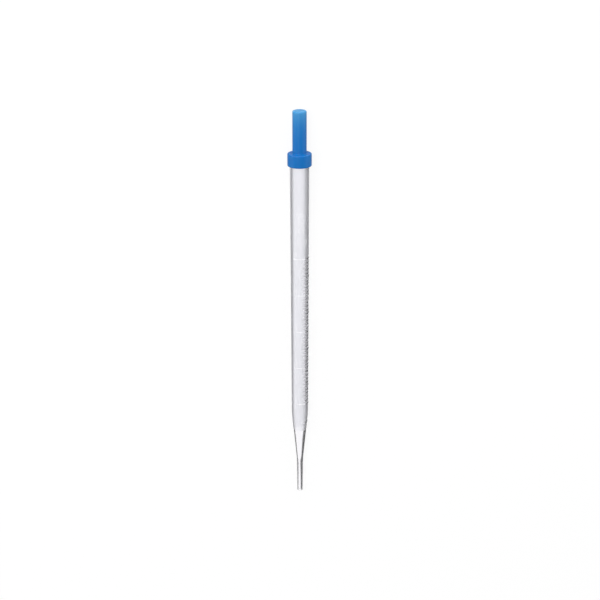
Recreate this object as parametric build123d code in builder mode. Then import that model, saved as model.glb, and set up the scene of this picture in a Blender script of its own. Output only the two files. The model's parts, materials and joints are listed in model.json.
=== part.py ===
from build123d import *
from math import asin, atan, atan2, cos, hypot, pi, sin
import os

# A graduated plastic dropper pipette, lying on a bench as it comes to rest.
#
# It is two pieces: a barrel, moulded in one with its tip and its raised volume scale, and a
# soft squeeze bulb pushed over the barrel's mouth. Both are round about one straight axis, so
# each is drawn as half of its section and revolved. Heights are lengths along that axis,
# counted from the mouth of the tip towards the bulb. All sizes are in millimetres.

# ---------------------------------------------------------------------------
# Driving dimensions
# ---------------------------------------------------------------------------

# Barrel: outside, a slim tip, a cone and a long tube, each a straight taper
tip_length = 20.0        # from the tip's mouth to the neck
cone_length = 27.0       # from the neck to the shoulder
tube_length = 148.7      # from the shoulder to the mouth that carries the bulb

# Inside, the bore is straight from the tip's mouth and then widens to the shoulder
outlet_length = 17.0
outlet_bore = 2.1        # diameters of the bore
shoulder_bore = 7.66
mouth_bore = 7.92

outlet_wall = 0.4        # wall thicknesses
neck_wall = 0.47
shoulder_wall = 0.67
mouth_wall = 1.24

lip_bevel = 0.1          # outer edge of the tip's mouth
shoulder_blend = 60.0    # radius where the cone runs into the tube

# Volume scale: raised marks on the outside, at the heights where the bore holds each volume
unit_volume = 1000.0     # one millilitre, in cubic millimetres
full_scale = 5           # millilitres at the top mark
divisions = 10           # marks in each millilitre
cone_mark = 0.5          # millilitres at the single mark on the cone

mark_relief = 0.15       # how far a mark stands out of the wall
mark_root = 0.1          # how far its section reaches into the wall
mark_width = 0.6
mark_bulb_gap = 2.0      # least plain wall between the top mark and the bulb

unit_mark_start = -45.0  # where each kind of mark starts, in degrees about the axis
unit_mark_arc = 155.0
half_mark_start = 8.0
half_mark_arc = 92.0
tenth_mark_start = 15.0
tenth_mark_arc = 65.0

# Bulb
socket_depth = 5.8       # how much of the barrel the collar covers
socket_clearance = 0.05  # round the barrel's mouth, on each side
collar_wall = 1.25
collar_roof = 1.2        # from the seat on the barrel's mouth to the top of the collar
collar_bevel = 0.6       # on both rims of the collar
teat_length = 23.1       # from the top of the collar to the closed end
teat_foot_diameter = 8.0
teat_end_diameter = 7.6
teat_end_round = 0.8
air_space_diameter = 6.0
air_space_end_wall = 1.2

# ---------------------------------------------------------------------------
# Heights and radii that follow from them
# ---------------------------------------------------------------------------

neck_height = tip_length
shoulder_height = neck_height + cone_length
mouth_height = shoulder_height + tube_length

collar_bottom = mouth_height - socket_depth
collar_top = mouth_height + collar_roof
bulb_top = collar_top + teat_length


def stretches(stations):
    """Pair each station with the next one."""
    return zip(stations, stations[1:])


def radius_at(height, stations):
    """Radius at a height of a form that tapers straight from station to station."""
    for (low, low_radius), (high, high_radius) in stretches(stations):
        if height <= high:
            return low_radius + (high_radius - low_radius) * (height - low) / (high - low)
    return high_radius


bore_stations = [
    (0, outlet_bore / 2),
    (outlet_length, outlet_bore / 2),
    (shoulder_height, shoulder_bore / 2),
    (mouth_height, mouth_bore / 2),
]

outlet_radius = outlet_bore / 2 + outlet_wall
neck_radius = radius_at(neck_height, bore_stations) + neck_wall
shoulder_radius = shoulder_bore / 2 + shoulder_wall
mouth_radius = mouth_bore / 2 + mouth_wall

wall_stations = [
    (0, outlet_radius),
    (neck_height, neck_radius),
    (shoulder_height, shoulder_radius),
    (mouth_height, mouth_radius),
]

socket_radius = mouth_radius + socket_clearance
collar_radius = socket_radius + collar_wall


def volume_below(height):
    """Volume of the bore below a height, added up from its stretches."""
    volume = 0
    for (low, low_radius), (high, high_radius) in stretches(bore_stations):
        level = min(max(height, low), high)
        level_radius = low_radius + (high_radius - low_radius) * (level - low) / (high - low)
        squares = low_radius**2 + low_radius * level_radius + level_radius**2
        volume += pi * (level - low) * squares / 3
    return volume


def height_of(millilitres):
    """Height of the mark for a volume, closed in on by halving the barrel again and again."""
    low = 0
    high = mouth_height
    for _ in range(40):
        middle = (low + high) / 2
        if volume_below(middle) < millilitres * unit_volume:
            low = middle
        else:
            high = middle
    return low


# ---------------------------------------------------------------------------
# How it lies: on the rim of the collar and on the shoulder of the barrel
# ---------------------------------------------------------------------------

# In the section the shoulder is an arc and the rim of the collar is a corner. The bench is the
# straight line that touches the arc and goes through the corner.
cone_slope = atan((shoulder_radius - neck_radius) / cone_length)
tube_slope = atan((mouth_radius - shoulder_radius) / tube_length)
shoulder_bend = cone_slope - tube_slope
shoulder_middle_slope = (cone_slope + tube_slope) / 2
arc_centre_depth = shoulder_blend / cos(shoulder_bend / 2)

arc_centre_height = shoulder_height + arc_centre_depth * sin(shoulder_middle_slope)
arc_centre_radius = shoulder_radius - arc_centre_depth * cos(shoulder_middle_slope)
rim_height = collar_bottom + collar_bevel
rim_radius = collar_radius

rim_from_centre = hypot(rim_height - arc_centre_height, rim_radius - arc_centre_radius)
rim_direction = atan2(rim_radius - arc_centre_radius, rim_height - arc_centre_height)
rest_tilt = rim_direction - asin(shoulder_blend / rim_from_centre)
tip_rest_height = rim_radius * cos(rest_tilt) - rim_height * sin(rest_tilt)

# The origin is on the bench under the middle of the pipette, +X points from the tip to the
# bulb and +Z points up. Sections are drawn upright over the axis: x is the radius, y the height.
tip_point = (-bulb_top * cos(rest_tilt) / 2, 0, tip_rest_height)
axis_direction = (cos(rest_tilt), 0, sin(rest_tilt))
pipette_axis = Axis(tip_point, axis_direction)
section_plane = Plane(tip_point, x_dir=(-sin(rest_tilt), 0, cos(rest_tilt)), z_dir=(0, 1, 0))


def section_turned(angle):
    """The section plane turned about the axis, from straight up towards -Y."""
    return Plane(section_plane.location * Location((0, 0, 0), (0, angle, 0)))


# ---------------------------------------------------------------------------
# Barrel
# ---------------------------------------------------------------------------

top_mark_limit = collar_bottom - mark_bulb_gap
scale_steps = range(divisions, full_scale * divisions + 1)
scale_steps = [step for step in scale_steps if height_of(step / divisions) < top_mark_limit]

unit_marks = [step / divisions for step in scale_steps if step % divisions == 0]
half_marks = [step / divisions for step in scale_steps if 2 * step % divisions == 0]
half_marks = [cone_mark] + [volume for volume in half_marks if volume not in unit_marks]
tenth_marks = [step / divisions for step in scale_steps if 2 * step % divisions != 0]

mark_groups = [
    (unit_marks, unit_mark_start, unit_mark_arc),
    (half_marks, half_mark_start, half_mark_arc),
    (tenth_marks, tenth_mark_start, tenth_mark_arc),
]

with BuildPart() as barrel:
    with BuildSketch(section_plane):
        with BuildLine():
            FilletPolyline(
                (outlet_bore / 2, 0),
                (outlet_radius - lip_bevel, 0),
                (outlet_radius, lip_bevel),
                (neck_radius, neck_height),
                (shoulder_radius, shoulder_height),
                (mouth_radius, mouth_height),
                (mouth_bore / 2, mouth_height),
                (shoulder_bore / 2, shoulder_height),
                (outlet_bore / 2, outlet_length),
                radius=[0, 0, 0, 0, shoulder_blend, 0, 0, 0, 0],
                close=True,
            )
        make_face()
    revolve(axis=pipette_axis)

    for volumes, start_angle, arc in mark_groups:
        with BuildSketch(section_turned(start_angle)):
            for volume in volumes:
                mark_height = height_of(volume)
                with Locations((radius_at(mark_height, wall_stations) - mark_root, mark_height)):
                    Rectangle(mark_root + mark_relief, mark_width, align=(Align.MIN, Align.CENTER))
        revolve(axis=pipette_axis, revolution_arc=arc)

# ---------------------------------------------------------------------------
# Bulb
# ---------------------------------------------------------------------------

with BuildPart() as bulb:
    with BuildSketch(section_plane):
        with BuildLine():
            FilletPolyline(
                (socket_radius, collar_bottom),
                (collar_radius - collar_bevel, collar_bottom),
                (collar_radius, collar_bottom + collar_bevel),
                (collar_radius, collar_top - collar_bevel),
                (collar_radius - collar_bevel, collar_top),
                (teat_foot_diameter / 2, collar_top),
                (teat_end_diameter / 2, bulb_top),
                (0, bulb_top),
                (0, bulb_top - air_space_end_wall),
                (air_space_diameter / 2, bulb_top - air_space_end_wall),
                (air_space_diameter / 2, mouth_height),
                (socket_radius, mouth_height),
                radius=[0, 0, 0, 0, 0, 0, teat_end_round, 0, 0, 0, 0, 0],
                close=True,
            )
        make_face()
    revolve(axis=pipette_axis)

# ---------------------------------------------------------------------------
# Files
# ---------------------------------------------------------------------------

barrel.part.label = "barrel"
bulb.part.label = "bulb"

os.makedirs("parts", exist_ok=True)
export_step(barrel.part, "parts/barrel.step")
export_step(bulb.part, "parts/bulb.step")
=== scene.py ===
# %% [markdown]
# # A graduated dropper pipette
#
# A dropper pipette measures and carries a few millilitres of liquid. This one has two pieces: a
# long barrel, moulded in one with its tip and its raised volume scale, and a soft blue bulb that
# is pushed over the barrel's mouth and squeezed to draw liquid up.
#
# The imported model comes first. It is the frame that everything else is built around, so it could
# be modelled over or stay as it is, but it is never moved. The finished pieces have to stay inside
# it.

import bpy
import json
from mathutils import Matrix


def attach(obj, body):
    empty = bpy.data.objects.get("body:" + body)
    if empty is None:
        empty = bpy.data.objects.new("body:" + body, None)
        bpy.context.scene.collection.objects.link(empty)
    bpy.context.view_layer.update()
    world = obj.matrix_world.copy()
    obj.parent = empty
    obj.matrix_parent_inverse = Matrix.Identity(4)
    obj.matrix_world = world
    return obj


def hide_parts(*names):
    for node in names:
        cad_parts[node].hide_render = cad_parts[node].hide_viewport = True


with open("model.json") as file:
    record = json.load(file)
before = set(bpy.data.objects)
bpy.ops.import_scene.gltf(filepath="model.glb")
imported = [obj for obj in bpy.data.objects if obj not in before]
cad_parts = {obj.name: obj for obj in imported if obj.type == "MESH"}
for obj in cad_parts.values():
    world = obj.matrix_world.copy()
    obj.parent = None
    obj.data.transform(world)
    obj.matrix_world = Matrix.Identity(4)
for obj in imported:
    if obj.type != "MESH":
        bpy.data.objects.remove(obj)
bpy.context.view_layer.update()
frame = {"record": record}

# %% [markdown]
# ## Where the axis lies
#
# The pipette lies on a bench, on the shoulder of its barrel and the rim of its collar, so its
# axis leans by a little under one degree. The direction could be typed in as an angle, but the
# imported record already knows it: its outlet mount is the bore of the tip, with a middle, an axis
# that points out of the tip and a length. Everything round is described by a height along that
# axis, a radius and an angle, in millimetres and degrees, and one function turns the three into
# a place in the frame, in metres.

# %% Find the axis in the record
from itertools import pairwise
from math import cos, pi, radians, sin, tan

import bpy
import numpy as np
from mathutils import Matrix, Vector

MM = 0.001
mounts = {mount["name"]: mount for mount in frame["record"]["mounts"]}
outlet, collar = mounts["outlet"], mounts["collar"]

along = -Vector(outlet["axis"]).normalized()
across = Vector((0, -1, 0))
upward = across.cross(along)
tip_mouth = Vector(outlet["pos_m"]) - along * outlet["dims"]["length_mm"] * MM / 2


def place(height, radius=0.0, angle=0.0):
    """A point of the frame from its height above the tip's mouth, radius and angle from the top."""
    turn = radians(angle)
    outward = upward * cos(turn) + across * sin(turn)
    return tip_mouth + (along * height + outward * radius) * MM


print("The tip's mouth is", round(tip_mouth.z / MM, 2), "mm above the bench")

# %% [markdown]
# ## Sizes of the barrel and the bulb
#
# The barrel is a slim tip, a cone and a long tube. Its wall is thin at the tip and thick at the
# mouth, so that the moulding core can be pulled out of the bore. Apart from the teat's width and
# the small rounds, these are the sizes that the solids were made from. The solids could be
# dressed as they are, but their edges are plain, because physics needs no finer ones. So the
# sizes are given again here, and each dressed piece is spun from a section of its own. The
# solids are made of flat facets, which cut a few thousandths of a millimetre into the true
# round, and the outside of each piece is made smaller by that much to stay in their box.

# %% Sizes of the barrel, in millimetres
facet_depth = 0.004

tip_length = 20.0
cone_length = 27.0
tube_length = 148.7

outlet_length = outlet["dims"]["length_mm"]
outlet_bore = 2 * outlet["dims"]["r_mm"]
shoulder_bore = 7.66
mouth_bore = 7.92

outlet_wall = 0.4
neck_wall = 0.47
shoulder_wall = 0.67
mouth_wall = 1.24

lip_round = 0.12
neck_blend = 6.0
shoulder_blend = 60.0

neck_height = tip_length
shoulder_height = neck_height + cone_length
mouth_height = shoulder_height + tube_length
print("The barrel is", mouth_height, "mm long")

# %% Sizes of the bulb, in millimetres
collar_radius = collar["dims"]["r_mm"] - facet_depth
collar_roof = 1.2
collar_round = 0.6
socket_depth = collar["dims"]["length_mm"]
socket_clearance = 0.05
socket_round = 0.15
teat_length = 23.1
teat_radius = 3.8
teat_foot_round = 0.35
teat_end_round = 0.8
air_space_radius = 3.0
air_space_end_wall = 1.2
air_space_round = 0.6

collar_bottom = mouth_height - socket_depth
collar_top = mouth_height + collar_roof
bulb_top = collar_top + teat_length
print("The whole pipette is", round(bulb_top, 1), "mm long")

# %% [markdown]
# ## Rounded sections
#
# Moulded plastic has no truly sharp edge: even a crisp rim is rounded by a few tenths of a
# millimetre, and that small round is what catches the light. A bevel modifier could soften the
# edges of a finished mesh, but it also touches edges that should stay. Here each corner of a
# section is rounded before it is spun, with a radius of its own.

# %% Round the corners of a section
ARC_STEP = radians(9)


def rounded(corners):
    """Replace each corner (height, radius, round) by points on an arc of that round."""
    points = []
    for index, (height, radius, round_size) in enumerate(corners):
        corner = Vector((height, radius))
        if round_size == 0:
            points.append(corner)
            continue
        back = (Vector(corners[index - 1][:2]) - corner).normalized()
        on = (Vector(corners[(index + 1) % len(corners)][:2]) - corner).normalized()
        half = back.angle(on) / 2
        centre = corner + (back + on).normalized() * round_size / sin(half)
        first = corner + back * round_size / tan(half) - centre
        last = corner + on * round_size / tan(half) - centre
        turn = pi - 2 * half
        steps = max(2, round(turn / ARC_STEP))
        for step in range(steps + 1):
            share = step / steps
            spoke = first * sin((1 - share) * turn) + last * sin(share * turn)
            points.append(centre + spoke / sin(turn))
    return points


print("A square corner becomes", len(rounded([(0, 0, 0), (0, 1, 0.2), (1, 1, 0)])) - 2, "points")

# %% [markdown]
# ## The bore and the outside of the barrel
#
# The bore is straight from the tip's mouth, opens in the cone and then widens very little up to
# the barrel's mouth. The outside could be a second list of radii, but a moulder thinks of the
# wall's thickness, so the outside is the bore with the wall added. Its line is rounded where the
# cone runs into the tip and into the tube, and at the lip.

# %% Draw the lines of the bore and the wall
bore_stations = [
    (0, outlet_bore / 2),
    (outlet_length, outlet_bore / 2),
    (shoulder_height, shoulder_bore / 2),
    (mouth_height, mouth_bore / 2),
]


def radius_at(height, line):
    """Radius at a height of a line of (height, radius) points."""
    heights, line_radii = zip(*line)
    return float(np.interp(height, heights, line_radii))


outlet_radius = outlet_bore / 2 + outlet_wall
neck_radius = radius_at(neck_height, bore_stations) + neck_wall
shoulder_radius = shoulder_bore / 2 + shoulder_wall
mouth_radius = mouth_bore / 2 + mouth_wall
wall_line = rounded([
    (0, outlet_radius - lip_round, 0),
    (lip_round, outlet_radius, 0),
    (neck_height, neck_radius, neck_blend),
    (shoulder_height, shoulder_radius, shoulder_blend),
    (mouth_height, mouth_radius, 0),
])
wall_line = [(height, radius - facet_depth) for height, radius in wall_line]
print("The barrel is", round(2 * radius_at(mouth_height, wall_line), 2), "mm across at its mouth")

# %% [markdown]
# ## The volume scale
#
# The marks of a pipette aren't evenly spaced by chance: each stands where the bore below it
# holds its volume. In the tube, which widens a little, they come slowly closer. The heights
# could be copied from the solids, but adding up the bore's volume gives them exactly, and it
# would still be right if the bore changed.

# %% Add up the volume of the bore
MILLILITRE = 1000.0
HALVINGS = 40


def volume_below(height):
    """Volume of the bore below a height, in cubic millimetres."""
    volume = 0
    for (low, low_radius), (high, high_radius) in pairwise(bore_stations):
        level = min(max(height, low), high)
        radius = low_radius + (high_radius - low_radius) * (level - low) / (high - low)
        volume += pi * (level - low) * (low_radius**2 + low_radius * radius + radius**2) / 3
    return volume


def height_of(millilitres):
    """Height of the mark for a volume, closed in on by halving."""
    low, high = 0, mouth_height
    for _ in range(HALVINGS):
        middle = (low + high) / 2
        if volume_below(middle) < millilitres * MILLILITRE:
            low = middle
        else:
            high = middle
    return low


print("The 1 mL mark is at", round(height_of(1), 2), "mm, the 5 mL mark at", round(height_of(5), 2))

# %% [markdown]
# ## Marks that run part of the way round
#
# The whole millilitres have the longest marks, which start to the left of their numeral. The
# halves and the tenths are shorter. On the cone there is a single mark, for half a millilitre.
# Each mark is a rib 0.6 mm wide that stands 0.15 mm proud. The ribs could have one slope all
# round, but they don't look alike all round. So their flanks are soft across the top of the
# barrel, where they let light through, and steep down the right side, where they look dark
# against the barrel's edge.

# %% List the marks
full_scale = 5
divisions = 10
cone_step = 5

mark_relief = 0.15
mark_width = 0.6
steep_flank = 0.05
long_flank = 0.15
short_flank = 0.2
flank_turn = (34.0, 40.0)
end_slope = 0.5

unit_arc = (-45.0, 110.0)
half_arc = (8.0, 100.0)
tenth_arc = (15.0, 80.0)


def shape_of(step):
    """Where the mark of a division starts and ends, in degrees from the top, and its soft flank."""
    if step % divisions == 0:
        return unit_arc, long_flank
    return half_arc if 2 * step % divisions == 0 else tenth_arc, short_flank


scale_steps = [cone_step, *range(divisions, full_scale * divisions + 1)]
marks = [(height_of(step / divisions), *shape_of(step)) for step in scale_steps]
print("There are", len(marks), "marks")

# %% [markdown]
# ## Raised numerals and lettering
#
# The numerals are cut into the mould, so they stand on the barrel as relief too. A text object
# could be laid round the tube with a curve modifier, but it would be a second body inside the
# first, and light would bend twice where they overlap. Instead each character is a few pen
# strokes, and the wall rises wherever a point of it is within half a stroke of one. A character
# is 1 high and starts at 0.

# %% Write characters as pen strokes
def bow(x, y, width, height, start, end, steps=14):
    """Points on part of an oval round (x, y), from one angle to another in degrees."""
    turns = [radians(start + (end - start) * step / steps) for step in range(steps + 1)]
    return [(x + width / 2 * cos(turn), y + height / 2 * sin(turn)) for turn in turns]


PEN_STROKES = {
    "0": [bow(0.3, 0.5, 0.6, 1.0, 0, 360, 28)],
    "1": [[(0.08, 0.8), (0.3, 1.0), (0.3, 0.0)]],
    "2": [bow(0.3, 0.72, 0.58, 0.56, 165, -35) + [(0.0, 0.0), (0.6, 0.0)]],
    "3": [bow(0.28, 0.76, 0.52, 0.48, 150, -90) + bow(0.28, 0.27, 0.6, 0.54, 90, -150)],
    "4": [[(0.62, 0.28), (0.0, 0.28), (0.44, 1.0), (0.44, 0.0)]],
    "5": [[(0.56, 1.0), (0.08, 1.0), (0.04, 0.52)] + bow(0.28, 0.33, 0.6, 0.66, 125, -145)],
    "/": [[(0.0, -0.08), (0.4, 1.05)]],
    "m": [
        [(0.0, 0.0), (0.0, 0.68)],
        bow(0.22, 0.44, 0.44, 0.48, 180, 0) + [(0.44, 0.0)],
        bow(0.66, 0.44, 0.44, 0.48, 180, 0) + [(0.88, 0.0)],
    ],
    "l": [[(0.05, 1.0), (0.05, 0.0)]],
}
USUAL_ADVANCE = 0.84
ADVANCE = {"m": 1.16, "l": 0.38, "1": 0.62, "/": 0.62, " ": 0.45}
print("Characters that can be written:", " ".join(sorted(PEN_STROKES)))

# %% [markdown]
# Numerals read upright with the bulb at the top, one above the left end of each long mark. Near
# the bulb, the capacity runs up the barrel in larger letters, with the value of one division
# below it.

# %% Lay a text out on the barrel
def stroke_segments(text, size, foot, angle, upright):
    """Segments ((height, arc), (height, arc)) of a text, in millimetres; arc is from the top."""
    segments = []
    pen_x = 0.0
    girth = radius_at(foot, wall_line) * radians(angle)
    for character in text:
        for stroke in PEN_STROKES.get(character, []):
            spots = [((pen_x + x) * size, y * size) for x, y in stroke]
            if upright:
                spots = [(foot + y, girth + x) for x, y in spots]
            else:
                spots = [(foot + x, girth - y) for x, y in spots]
            segments += pairwise(spots)
        pen_x += ADVANCE.get(character, USUAL_ADVANCE)
    return segments


print("A numeral 4 has", len(stroke_segments("4", 1, 0, 0, True)), "straight strokes")

# %% Write the numerals, the capacity and the division
numeral_height = 2.7
numeral_pen = 0.5
numeral_angle = -38.0
numeral_gap = 1.5

capacity_height = 4.2
capacity_pen = 0.62
capacity_foot = 154.0
capacity_angle = 25.0

division_height = 2.3
division_foot = 147.6
division_angle = -20.0

writing = []
for volume in range(1, full_scale + 1):
    foot = height_of(volume) + numeral_gap
    strokes = stroke_segments(str(volume), numeral_height, foot, numeral_angle, True)
    writing.append((strokes, numeral_pen))
strokes = stroke_segments("5 ml", capacity_height, capacity_foot, capacity_angle, False)
writing.append((strokes, capacity_pen))
strokes = stroke_segments("1/10", division_height, division_foot, division_angle, True)
writing.append((strokes, numeral_pen))
print("Pen strokes on the barrel:", sum(len(strokes) for strokes, _ in writing))

# %% [markdown]
# ## How far the wall is raised
#
# Marks and writing could be cut into a finished mesh with booleans, but forty of them on a thin
# curved wall leave long slivers that catch the light. Instead one function answers, for any
# point of the outside, how much of the full relief the marks have there, and another answers it
# for the writing. The answer runs from 0 to 1, and between the two the relief has its flank.

# %% Measure the relief of the wall
pen_slope = 0.16


def steep(distance, slope):
    """0 at an edge, 1 a slope's width inside it."""
    return np.clip(distance / slope, 0, 1)


def mark_share(height, angles, chosen=marks):
    """Share of the full relief that the chosen marks have at a height, for each angle."""
    share = np.zeros(len(angles))
    for middle, (start, end), soft_flank in chosen:
        inside = mark_width / 2 - abs(height - middle)
        if inside > 0:
            flanks = np.interp(angles, flank_turn, (soft_flank, steep_flank))
            sides = steep(np.minimum(angles - start, end - angles), end_slope)
            share = np.maximum(share, steep(inside, flanks) * sides)
    return share


def writing_share(height, arcs):
    """Share of the full relief that the writing has at a height, for each place round the wall."""
    share = np.zeros(len(arcs))
    for strokes, pen in writing:
        for (low, left), (high, right) in strokes:
            if abs(height - (low + high) / 2) > abs(high - low) / 2 + pen:
                continue
            rise, run = high - low, right - left
            ahead = ((height - low) * rise + (arcs - left) * run) / (rise**2 + run**2)
            ahead = np.clip(ahead, 0, 1)
            away = np.hypot(height - low - ahead * rise, arcs - left - ahead * run)
            share = np.maximum(share, steep(pen / 2 - away, pen_slope))
    return share


print("Relief on the middle of the 5 mL mark:", mark_share(height_of(5), np.array([0.0]))[0])

# %% [markdown]
# ## Spin a section into a closed body
#
# A screw modifier can spin a section, but it can't raise the wall on the way. So the rings are laid
# one by one: one ring of points for each point of the section and one face between each two
# neighbours. The angles are close together only where there is writing, and they include both ends
# of each kind of mark, so that the ends are straight.

# %% Choose the angles
writing_left, writing_right = -44, 29
writing_step = 1.2
plain_step = 4
bulb_step = 3
least_step = 0.35


def spaced(start, end, step):
    """Numbers from start up to end, a step apart."""
    return list(np.arange(start, end, step))


mark_ends = [
    angle
    for start, end in (unit_arc, half_arc, tenth_arc)
    for angle in (start, start + end_slope, end - end_slope, end)
]
angles = spaced(writing_left, writing_right, writing_step)
angles += spaced(writing_right, 180, plain_step) + spaced(-180, writing_left, plain_step)
apart = [angle for angle in angles if min(abs(angle - end) for end in mark_ends) > least_step]
barrel_angles = np.array(sorted(apart + mark_ends))
bulb_angles = np.array(spaced(-180, 180, bulb_step))
print("Points in each ring of the barrel:", len(barrel_angles))

# %% Define how a section is spun
SHARP_ANGLE = 32


def spin(name, section, angles, closed, raise_wall=None):
    """Turn a section, a list of (height, radius), into a body around the axis."""
    points, rings = [], []
    for index, (height, radius) in enumerate(section):
        if radius == 0:
            rings.append([len(points)] * len(angles))
            points.append(place(height))
            continue
        lift = raise_wall(index, height, radius) if raise_wall else np.zeros(len(angles))
        rings.append(list(range(len(points), len(points) + len(angles))))
        points += [place(height, radius + up, angle) for up, angle in zip(lift, angles)]
    faces = []
    for low, high in pairwise(rings + rings[:1] if closed else rings):
        for here, there in pairwise([*range(len(angles)), 0]):
            corners = dict.fromkeys((low[here], low[there], high[there], high[here]))
            faces.append(list(corners))
    mesh = bpy.data.meshes.new(name)
    mesh.from_pydata(points, [], faces)
    mesh.validate()
    mesh.shade_smooth()
    mesh.set_sharp_from_angle(angle=radians(SHARP_ANGLE))
    piece = bpy.data.objects.new(name, mesh)
    bpy.context.scene.collection.objects.link(piece)
    print(name, "has", len(points), "points and", len(faces), "faces")
    return piece


print("Edges that turn by more than", SHARP_ANGLE, "degrees stay sharp")

# %% [markdown]
# ## The barrel
#
# The wall's rings stand at the corners of its line, at the six edges of each mark, close
# together across the writing and no more than 3 mm apart elsewhere. A ring every tenth of a
# millimetre would need no such list, but it would take more than three times the faces. A ring
# that would all but touch the one before it is left out. Then the section turns round the mouth,
# runs down the bore and closes over the tip.

# %% Lay the rings of the wall
frost_height = 37.6
frost_step = 0.05
ring_spacing = 3.0
writing_spacing = 0.12
least_gap = 0.015

wall_heights = [height for height, _ in wall_line]
wall_heights += spaced(ring_spacing, mouth_height, ring_spacing)
wall_heights += [frost_height, frost_height + frost_step]
for middle, _, soft_flank in marks:
    for inside in (0, steep_flank, soft_flank):
        edge = mark_width / 2 - inside
        wall_heights += [middle - edge, middle + edge]
for strokes, pen in writing:
    reach = [height for segment in strokes for height, _ in segment]
    last = max(reach) + pen / 2 + writing_spacing
    wall_heights += spaced(min(reach) - pen / 2, last, writing_spacing)

wall = [0]
for height in sorted(round(height, 3) for height in wall_heights):
    if height - wall[-1] > least_gap:
        wall.append(height)
print("Rings on the wall:", len(wall))

# %% Lay the rings of the bore
bore_spacing = 7
cone_ring = 32.0
outlet_ring = 8.0
bore_lip = 0.04

tube_rings = spaced(shoulder_height + 1, mouth_height - 1, bore_spacing)[::-1]
bore_heights = [mouth_height, *tube_rings, shoulder_height, cone_ring, outlet_length, outlet_ring]
bore = [(height, radius_at(height, bore_stations)) for height in [*bore_heights, bore_lip]]
bore.append((0, outlet_bore / 2 + bore_lip))
print("Rings in the bore:", len(bore))

# %% Spin the barrel
writing_relief = 0.04


def shares_at(height, radius):
    """Shares of the full relief of the marks and of the writing round the wall at a height."""
    arcs = np.radians(barrel_angles) * radius
    return mark_share(height, barrel_angles), writing_share(height, arcs)


def raise_wall(index, height, radius):
    """Millimetres by which the wall stands proud, for each angle."""
    if index >= len(wall):
        return np.zeros(len(barrel_angles))
    on_marks, on_writing = shares_at(height, radius)
    return np.maximum(mark_relief * on_marks, writing_relief * on_writing)


barrel_section = [(height, radius_at(height, wall_line)) for height in wall] + bore
barrel = spin("moulded_barrel", barrel_section, barrel_angles, True, raise_wall)

# %% [markdown]
# ## The bulb
#
# The bulb is one soft moulding: a collar that grips the barrel's mouth and a teat with a closed
# end. It could be a collar and a teat joined together, but it is cast in one, so it is spun in
# one. Its section starts on the axis inside, goes down the air space and the socket, round the
# collar and up the outside, and ends on the axis at the top. A section with both ends on the
# axis gives a body with no hole. The teat is straight. Its solid widens a little towards the
# collar, by 0.2 mm at the foot, so the dressed teat stays inside it.

# %% Spin the bulb
bulb_section = rounded([
    (bulb_top - air_space_end_wall, 0, 0),
    (bulb_top - air_space_end_wall, air_space_radius, air_space_round),
    (mouth_height, air_space_radius, 0),
    (mouth_height, mouth_radius + socket_clearance, 0),
    (collar_bottom, mouth_radius + socket_clearance, socket_round),
    (collar_bottom, collar_radius, collar_round),
    (collar_top, collar_radius, collar_round),
    (collar_top, teat_radius, teat_foot_round),
    (bulb_top, teat_radius, teat_end_round),
    (bulb_top, 0, 0),
])
bulb = spin("squeeze_bulb", bulb_section, bulb_angles, False)

# %% [markdown]
# ## Plastics
#
# Each material is one Principled shader, which holds glass, satin and milky plastic alike, so
# that no mix of shaders is needed. A few nodes give it what a real moulding has: a surface that
# is nowhere quite even. The helpers below add a node and its links in one call, so that each
# material reads as a short recipe.

# %% Define how nodes are added
def set_inputs(tree, node, inputs):
    """Give a node's inputs, named or numbered, their values or links to other outputs."""
    for name, value in inputs.items():
        if isinstance(value, bpy.types.NodeSocket):
            tree.links.new(value, node.inputs[name])
        else:
            node.inputs[name].default_value = value


def add_node(tree, kind, inputs, **settings):
    """Add a node with its settings and inputs."""
    node = tree.nodes.new("ShaderNode" + kind)
    for name, value in settings.items():
        setattr(node, name, value)
    set_inputs(tree, node, inputs)
    return node


def calculate(tree, operation, *values):
    """The result of one operation on outputs or numbers."""
    return add_node(tree, "Math", dict(enumerate(values)), operation=operation).outputs["Value"]


def ramp(tree, value, start, end, low, high):
    """Rise smoothly from low to high as a value goes from start to end."""
    inputs = {"Value": value, "From Min": start, "From Max": end, "To Min": low, "To Max": high}
    return add_node(tree, "MapRange", inputs, interpolation_type="SMOOTHSTEP").outputs["Result"]


print("Nodes can be added, calculated with and ramped")

# %% Define how a plastic is started and roughened
def material(name, inputs):
    """A material, its node tree and its Principled shader with the inputs given."""
    made = bpy.data.materials.new(name)
    made.use_nodes = True
    shader = made.node_tree.nodes["Principled BSDF"]
    set_inputs(made.node_tree, shader, inputs)
    return made, made.node_tree, shader


def grain(tree, size, detail, stretch=(1, 1, 1)):
    """A noise whose grains are about a size in millimetres, over the piece's own coordinates."""
    spot = add_node(tree, "TexCoord", {}).outputs["Object"]
    spot = add_node(tree, "Mapping", {"Vector": spot, "Scale": stretch}).outputs["Vector"]
    inputs = {"Vector": spot, "Scale": 1 / (size * MM), "Detail": detail}
    return add_node(tree, "TexNoise", inputs).outputs["Fac"]


def emboss(tree, shader, relief, height, strength):
    """Turn a noise into fine relief, with its height in millimetres."""
    bump = add_node(tree, "Bump", {"Height": relief, "Distance": height * MM, "Strength": strength})
    tree.links.new(bump.outputs["Normal"], shader.inputs["Normal"])


plastic_index = 1.49
print("The plastic bends light with an index of", plastic_index)

# %% [markdown]
# ### Polished plastic
#
# The barrel is one clear plastic with three surfaces. The tip, the bore and most of what is
# raised come off polished steel and stay as clear as glass. A glass shader would do for that,
# but the Principled one can be exported too. Faint streaks run along the barrel, the way the
# melt flowed, from a noise that is stretched that way.

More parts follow.
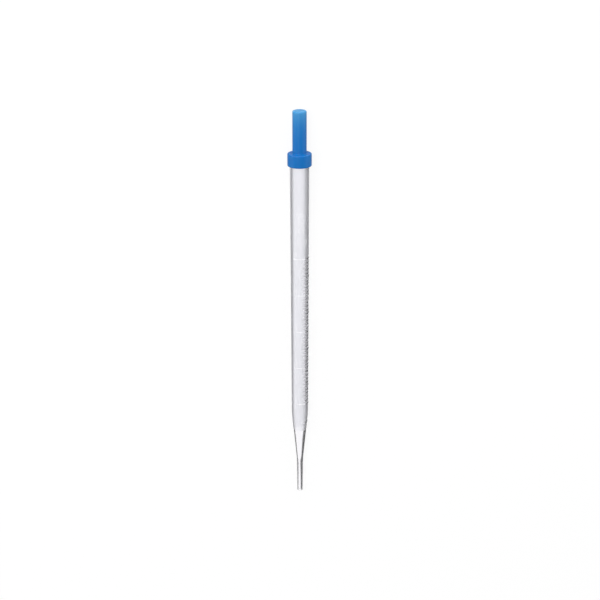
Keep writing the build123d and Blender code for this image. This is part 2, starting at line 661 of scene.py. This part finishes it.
# %% Make the polished plastic
polished, tree, shader = material("polished_plastic", {
    "Base Color": (0.99, 0.985, 1.0, 1),
    "Roughness": 0.03,
    "IOR": plastic_index,
    "Transmission Weight": 1.0,
})
streaks = grain(tree, size=0.8, detail=2, stretch=(0.05, 1, 1))
emboss(tree, shader, streaks, height=0.01, strength=0.3)
print("Made", polished.name)

# %% [markdown]
# ### Frosted plastic
#
# The rest of the mould is blasted, so the wall is frosted. It is the same plastic, with a rough
# surface that lets most of the light through and scatters the rest as a milky white with a hint
# of blue. Fine dents could be modelled as bump, but they are far too small to be seen one by
# one, so roughness stands for them. The blasting is a little uneven, which a noise on the
# roughness shows.

# %% Make the frosted plastic
frosted, tree, shader = material("frosted_plastic", {
    "Base Color": (0.955, 0.96, 1.0, 1),
    "IOR": plastic_index,
    "Transmission Weight": 0.86,
})
blasting = ramp(tree, grain(tree, size=1.6, detail=4), start=0.3, end=0.7, low=0.275, high=0.29)
tree.links.new(blasting, shader.inputs["Roughness"])
print("Made", frosted.name)

# %% [markdown]
# ### Milky plastic, a painted highlight
#
# The long marks and the writing have to read against the frosted wall. Where they cross the front
# of the barrel they are milky: they scatter most of the light and let the rest through. This
# whiteness is a painted highlight, which stands in for the light that the clear raised plastic
# catches there. White paint would do as well, but it would hide the barrel behind it.

# %% Make the milky plastic of the painted highlight
# Painted highlight: the raised plastic is clear, and this milky white stands in for the light it
# catches on the front.
milky_painted_highlight, tree, shader = material("painted_highlight_plastic", {
    "Base Color": (0.97, 0.97, 1.0, 1),
    "Roughness": 0.5,
    "IOR": plastic_index,
    "Transmission Weight": 0.38,
})
print("Made", milky_painted_highlight.name)

# %% [markdown]
# ### Blue elastomer
#
# The bulb is a blue elastomer with a satin skin, which bends light a little less than the barrel's
# plastic and so mirrors less. Its closed end is thin and lets more light through, and that glow is
# painted into the colour: the blue grows lighter over the teat, slowly at first and quickly at the
# end. Two materials would leave a line between them. The height above the collar, raised to a
# power, gives the painted glow without one, as the share in a mix of two blues. The Mix node has
# inputs for numbers, vectors and colours under the same names, so those for colours go by their
# numbers.

# %% Make the blue elastomer
COLOUR_A, COLOUR_B, COLOUR_RESULT = 6, 7, 2
foot_blue = (0.0, 0.135, 0.43, 1)
# The lighter end blue is a painted glow: light through the thin closed end, painted into the base
# colour.
painted_glow_blue = (0.05, 0.27, 0.54, 1)
glow_fade_power = 3.5

elastomer, tree, shader = material("blue_elastomer", {
    "Roughness": 0.32,
    "IOR": 1.41,
    "Subsurface Weight": 0.2,
    "Subsurface Radius": (0.3, 0.7, 1.0),
    "Subsurface Scale": 0.001,
})
spot = add_node(tree, "TexCoord", {}).outputs["Object"]
reach = add_node(tree, "SeparateXYZ", {"Vector": spot}).outputs["X"]
share = add_node(tree, "MapRange", {
    "Value": reach, "From Min": place(collar_top).x, "From Max": place(bulb_top).x,
}).outputs["Result"]
share = calculate(tree, "POWER", share, glow_fade_power)
blue = add_node(tree, "Mix", {
    "Factor": share, COLOUR_A: foot_blue, COLOUR_B: painted_glow_blue,
}, data_type="RGBA").outputs[COLOUR_RESULT]
tree.links.new(blue, shader.inputs["Base Color"])
emboss(tree, shader, grain(tree, size=0.5, detail=3), height=0.02, strength=0.25)
print("Made", elastomer.name)

# %% [markdown]
# ## Give each face its plastic
#
# The frosted zone starts on the cone and ends under the bulb. On it, only what is raised has
# another surface: the writing and the front of the long marks are milky, a painted highlight, and
# all else that is raised is polished. An image could say where, but the faces already follow the
# relief, so each has one plastic. A face counts as polished where its middle has at least half of
# the relief. It counts as milky from a lower share, so that the milky lines of painted highlight
# come out wider.

# %% Choose the plastic of each face of the wall
POLISHED, FROSTED, PAINTED_HIGHLIGHT = 0, 1, 2
polished_from = 0.49
painted_highlight_from = 0.3
# The painted highlight ends where the marks turn down the right side and look dark.
painted_highlight_end = 34.0
long_marks = [mark for mark in marks if mark[1] == unit_arc]


def raised(height, radius):
    """Share of the full relief round the wall at a height."""
    return np.maximum(*shares_at(height, radius))


def milky_part(height, radius):
    """Share of the full relief round the wall at a height, of what gets the milky painted highlight
    alone.
    """
    on_long = mark_share(height, barrel_angles, long_marks) * (barrel_angles < painted_highlight_end)
    return np.maximum(on_long, shares_at(height, radius)[1])


def face_shares(share_at):
    """Mean of a share over the four corners of each face of the wall, ring by ring."""
    shares = np.array([share_at(height, radius_at(height, wall_line)) for height in wall])
    beside = np.roll(shares, -1, axis=1)
    return (shares[:-1] + shares[1:] + beside[:-1] + beside[1:]) / 4


finish = np.where(face_shares(raised) < polished_from, FROSTED, POLISHED)
# The writing and the front of the long marks get the milky painted highlight.
finish[face_shares(milky_part) >= painted_highlight_from] = PAINTED_HIGHLIGHT
finish[np.array(wall[:-1]) < frost_height] = POLISHED
print("Frosted faces:", (finish == FROSTED).sum(), "and milky faces:", (finish == PAINTED_HIGHLIGHT).sum())

# %% Dress the barrel and the bulb
for plastic in (polished, frosted, milky_painted_highlight):
    barrel.data.materials.append(plastic)
slots = np.full(len(barrel.data.polygons), POLISHED)
slots[:finish.size] = finish.ravel()
barrel.data.polygons.foreach_set("material_index", slots)
bulb.data.materials.append(elastomer)

for piece, node, slot in ((barrel, "barrel", "barrel"), (bulb, "bulb", "bulb")):
    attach(piece, "root")
    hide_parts(node)
    print(piece.name, "is dressed with", [plastic.name for plastic in piece.data.materials])

# %% [markdown]
# ## Bench
#
# The bench is a plain white sheet. A backdrop could curve up behind the pipette, but a flat
# sheet is enough when it is so much larger that no edge of it shows. Most of what the camera
# sees of it is plain white, and the rest is the lit sheet, which keeps a soft shadow under the
# pipette. Light that passes through the barrel or is mirrored by a piece doesn't see the bench
# but the world below it, which the next step lights.

# %% Lay the bench
bench_reach = 4.0
plain_share = 0.88
bench_signs = [(-1, -1), (1, -1), (1, 1), (-1, 1)]
bench_corners = [(x * bench_reach, y * bench_reach, 0) for x, y in bench_signs]
bench_mesh = bpy.data.meshes.new("bench")
bench_mesh.from_pydata(bench_corners, [], [range(4)])
bench = bpy.data.objects.new("bench", bench_mesh)
bpy.context.scene.collection.objects.link(bench)

bench_white, tree, shader = material("bench_white", {
    "Base Color": (0.95, 0.95, 0.95, 1), "Roughness": 0.9, "Specular IOR Level": 0.1,
})
rays = add_node(tree, "LightPath", {}).outputs
share = calculate(tree, "MULTIPLY", rays["Is Camera Ray"], plain_share)
plain_white = add_node(tree, "Emission", {"Color": (1, 1, 1, 1)}).outputs["Emission"]
mixed = add_node(tree, "MixShader", {0: share, 1: shader.outputs["BSDF"], 2: plain_white})
tree.links.new(mixed.outputs["Shader"], tree.nodes["Material Output"].inputs["Surface"])
bench_mesh.materials.append(bench_white)
bench.visible_transmission = False
bench.visible_glossy = False
print("The bench is", 2 * bench_reach, "m wide")

# %% [markdown]
# ## Surroundings
#
# A clear tube is seen by what stands behind it. Near its edges the wall bends the view far to
# the side, so a white panel between two dark flags draws the edges dark, which is how glassware
# is lit. The panel and the flags could be sheets under the bench, but sheets would show from
# other sides, so they are parts of the world, which differs by the kind of ray that sees it. X
# runs along the pipette and Y across it. The flags lie low on both sides of the panel, the right
# one nearer than the left one, and it comes nearer still towards the tip, where the line down
# the cone is the darkest. They end well below the horizon and not far beyond the ends of the
# pipette, so from most other sides the barrel stands against plain white.

# %% Start the world
world = bpy.data.worlds.new("studio")
bpy.context.scene.world = world
world.use_nodes = True
tree = world.node_tree
rays = add_node(tree, "LightPath", {}).outputs
direction = add_node(tree, "TexCoord", {}).outputs["Generated"]
direction = add_node(tree, "SeparateXYZ", {"Vector": direction}).outputs


def blend_of(share, first, second):
    """Mix two levels of light, each an output or a number."""
    return add_node(tree, "Mix", {"Factor": share, "A": first, "B": second}).outputs["Result"]


print("Nodes in the world so far:", len(tree.nodes))

# %% Set the panel between its flags
flag_level = 0.06
right_flag = (-0.425, -0.37)
right_slant = 0.75
left_flag = (0.33, 0.46)
flag_ends = (0.5, 0.65)
flag_tops = (-0.95, -0.83)
top_slant = 1.5

slanted = calculate(tree, "MULTIPLY_ADD", direction["X"], right_slant, direction["Y"])
right_edge = ramp(tree, slanted, *right_flag, flag_level, 1.0)
flags = blend_of(ramp(tree, direction["Y"], *left_flag, 0.0, 1.0), right_edge, flag_level)

along_reach = calculate(tree, "ABSOLUTE", direction["X"])
past_ends = ramp(tree, along_reach, *flag_ends, 0.0, 1.0)
rise = calculate(tree, "MULTIPLY_ADD", direction["X"], top_slant, direction["Z"])
past_tops = ramp(tree, rise, *flag_tops, 0.0, 1.0)
panel = blend_of(calculate(tree, "MAXIMUM", past_ends, past_tops), flags, 1.0)
print("The flags give", flag_level, "of the panel's light")

# %% [markdown]
# Satin plastic mirrors what is round it. The world is darker overhead than at the sides, so
# that a darker line runs down the middle of the bulb. It is darker below too, where the edges
# of the bulb mirror it, which outlines them, and white again beyond the bulb's closed end.

# %% Set what is mirrored
overhead_level = 0.2
overhead_sides = (0.6, 0.95)
below_level = 0.4
below_end = (0.3, 0.6)
horizon = (-0.05, 0.1)

across_reach = calculate(tree, "ABSOLUTE", direction["Y"])
overhead = ramp(tree, across_reach, *overhead_sides, overhead_level, 1.0)
below = ramp(tree, direction["X"], *below_end, below_level, 1.0)
mirrored = blend_of(ramp(tree, direction["Z"], *horizon, 0.0, 1.0), below, overhead)
print("The darkest that is mirrored is", overhead_level, "of white")

# %% [markdown]
# Each kind of ray now gets its own world: what passes through a piece sees the panel and the
# flags, what a piece mirrors sees the levels above, the camera sees white, and everything else
# gets an even light.

# %% Light the surroundings
even_level = 0.64

level = blend_of(rays["Is Glossy Ray"], even_level, mirrored)
level = blend_of(rays["Is Transmission Ray"], level, panel)
level = blend_of(rays["Is Camera Ray"], level, 1.0)
set_inputs(tree, tree.nodes["Background"], {"Color": (1, 1, 1, 1), "Strength": level})
print("The even light has a level of", even_level)

# %% [markdown]
# ## Lamps
#
# An even light alone shows no form, and one bare lamp would draw hard shadows, so a few large,
# soft lamps shape the piece. The largest hangs above, on the left. A low one beyond the bulb
# catches the rim of the collar and the closed end, and a weak one on each side of it lights the
# flanks of the bulb.

# %% Hang the lamps
def soft_lamp(name, position, size, power):
    """A square lamp that faces the middle of the pipette."""
    lamp = bpy.data.lights.new(name, "AREA")
    lamp.size = size
    lamp.energy = power
    holder = bpy.data.objects.new(name, lamp)
    holder.location = position
    holder.rotation_euler = Vector(position).to_track_quat("Z", "Y").to_euler()
    holder.visible_camera = False
    bpy.context.scene.collection.objects.link(holder)
    print(name, "lamp of", power, "W")


soft_lamp("upper", (0.4, 0.4, 1.2), size=0.8, power=7)
soft_lamp("end", (1.1, 0.0, 0.4), size=0.5, power=4)
for side in (-1, 1):
    soft_lamp("side", (0.8, 0.7 * side, 0.3), size=0.5, power=2)

# %% [markdown]
# ## Camera
#
# The camera looks down on the pipette and leans from straight down towards the bulb. A camera
# without perspective would keep the barrel's sides parallel, but no real one sees like that, so
# a long lens a metre away keeps them nearly so. It aims a little above the middle of the
# pipette and a hair to the side, and is turned by a small part of a degree, so that the pipette
# stands upright.

# %% Set the camera
camera_distance = 1.0
camera_lean = radians(20)
camera_roll = radians(0.075)
camera_lens = 110.1
look_height = 114.1
look_aside = 0.145

camera = bpy.data.objects.new("camera", bpy.data.cameras.new("camera"))
camera.data.sensor_width = 36
camera.data.lens = camera_lens
bpy.context.scene.collection.objects.link(camera)
bpy.context.scene.camera = camera

target = place(look_height) + across * look_aside * MM
back = upward * cos(camera_lean) + along * sin(camera_lean)
top = along * cos(camera_lean) - upward * sin(camera_lean)
right = across * cos(camera_roll) - top * sin(camera_roll)
camera.matrix_world = Matrix.Translation(target + back * camera_distance) @ Matrix(
    (right, back.cross(right), back)
).transposed().to_4x4()
bpy.context.scene.view_settings.view_transform = "Standard"
print("The camera is", round(camera.location.z, 3), "m above the bench")

# %% [markdown]
# ## Finish
#
# The finished pieces have to stay in the box of the solids that they dress.

# %% Finish
import json
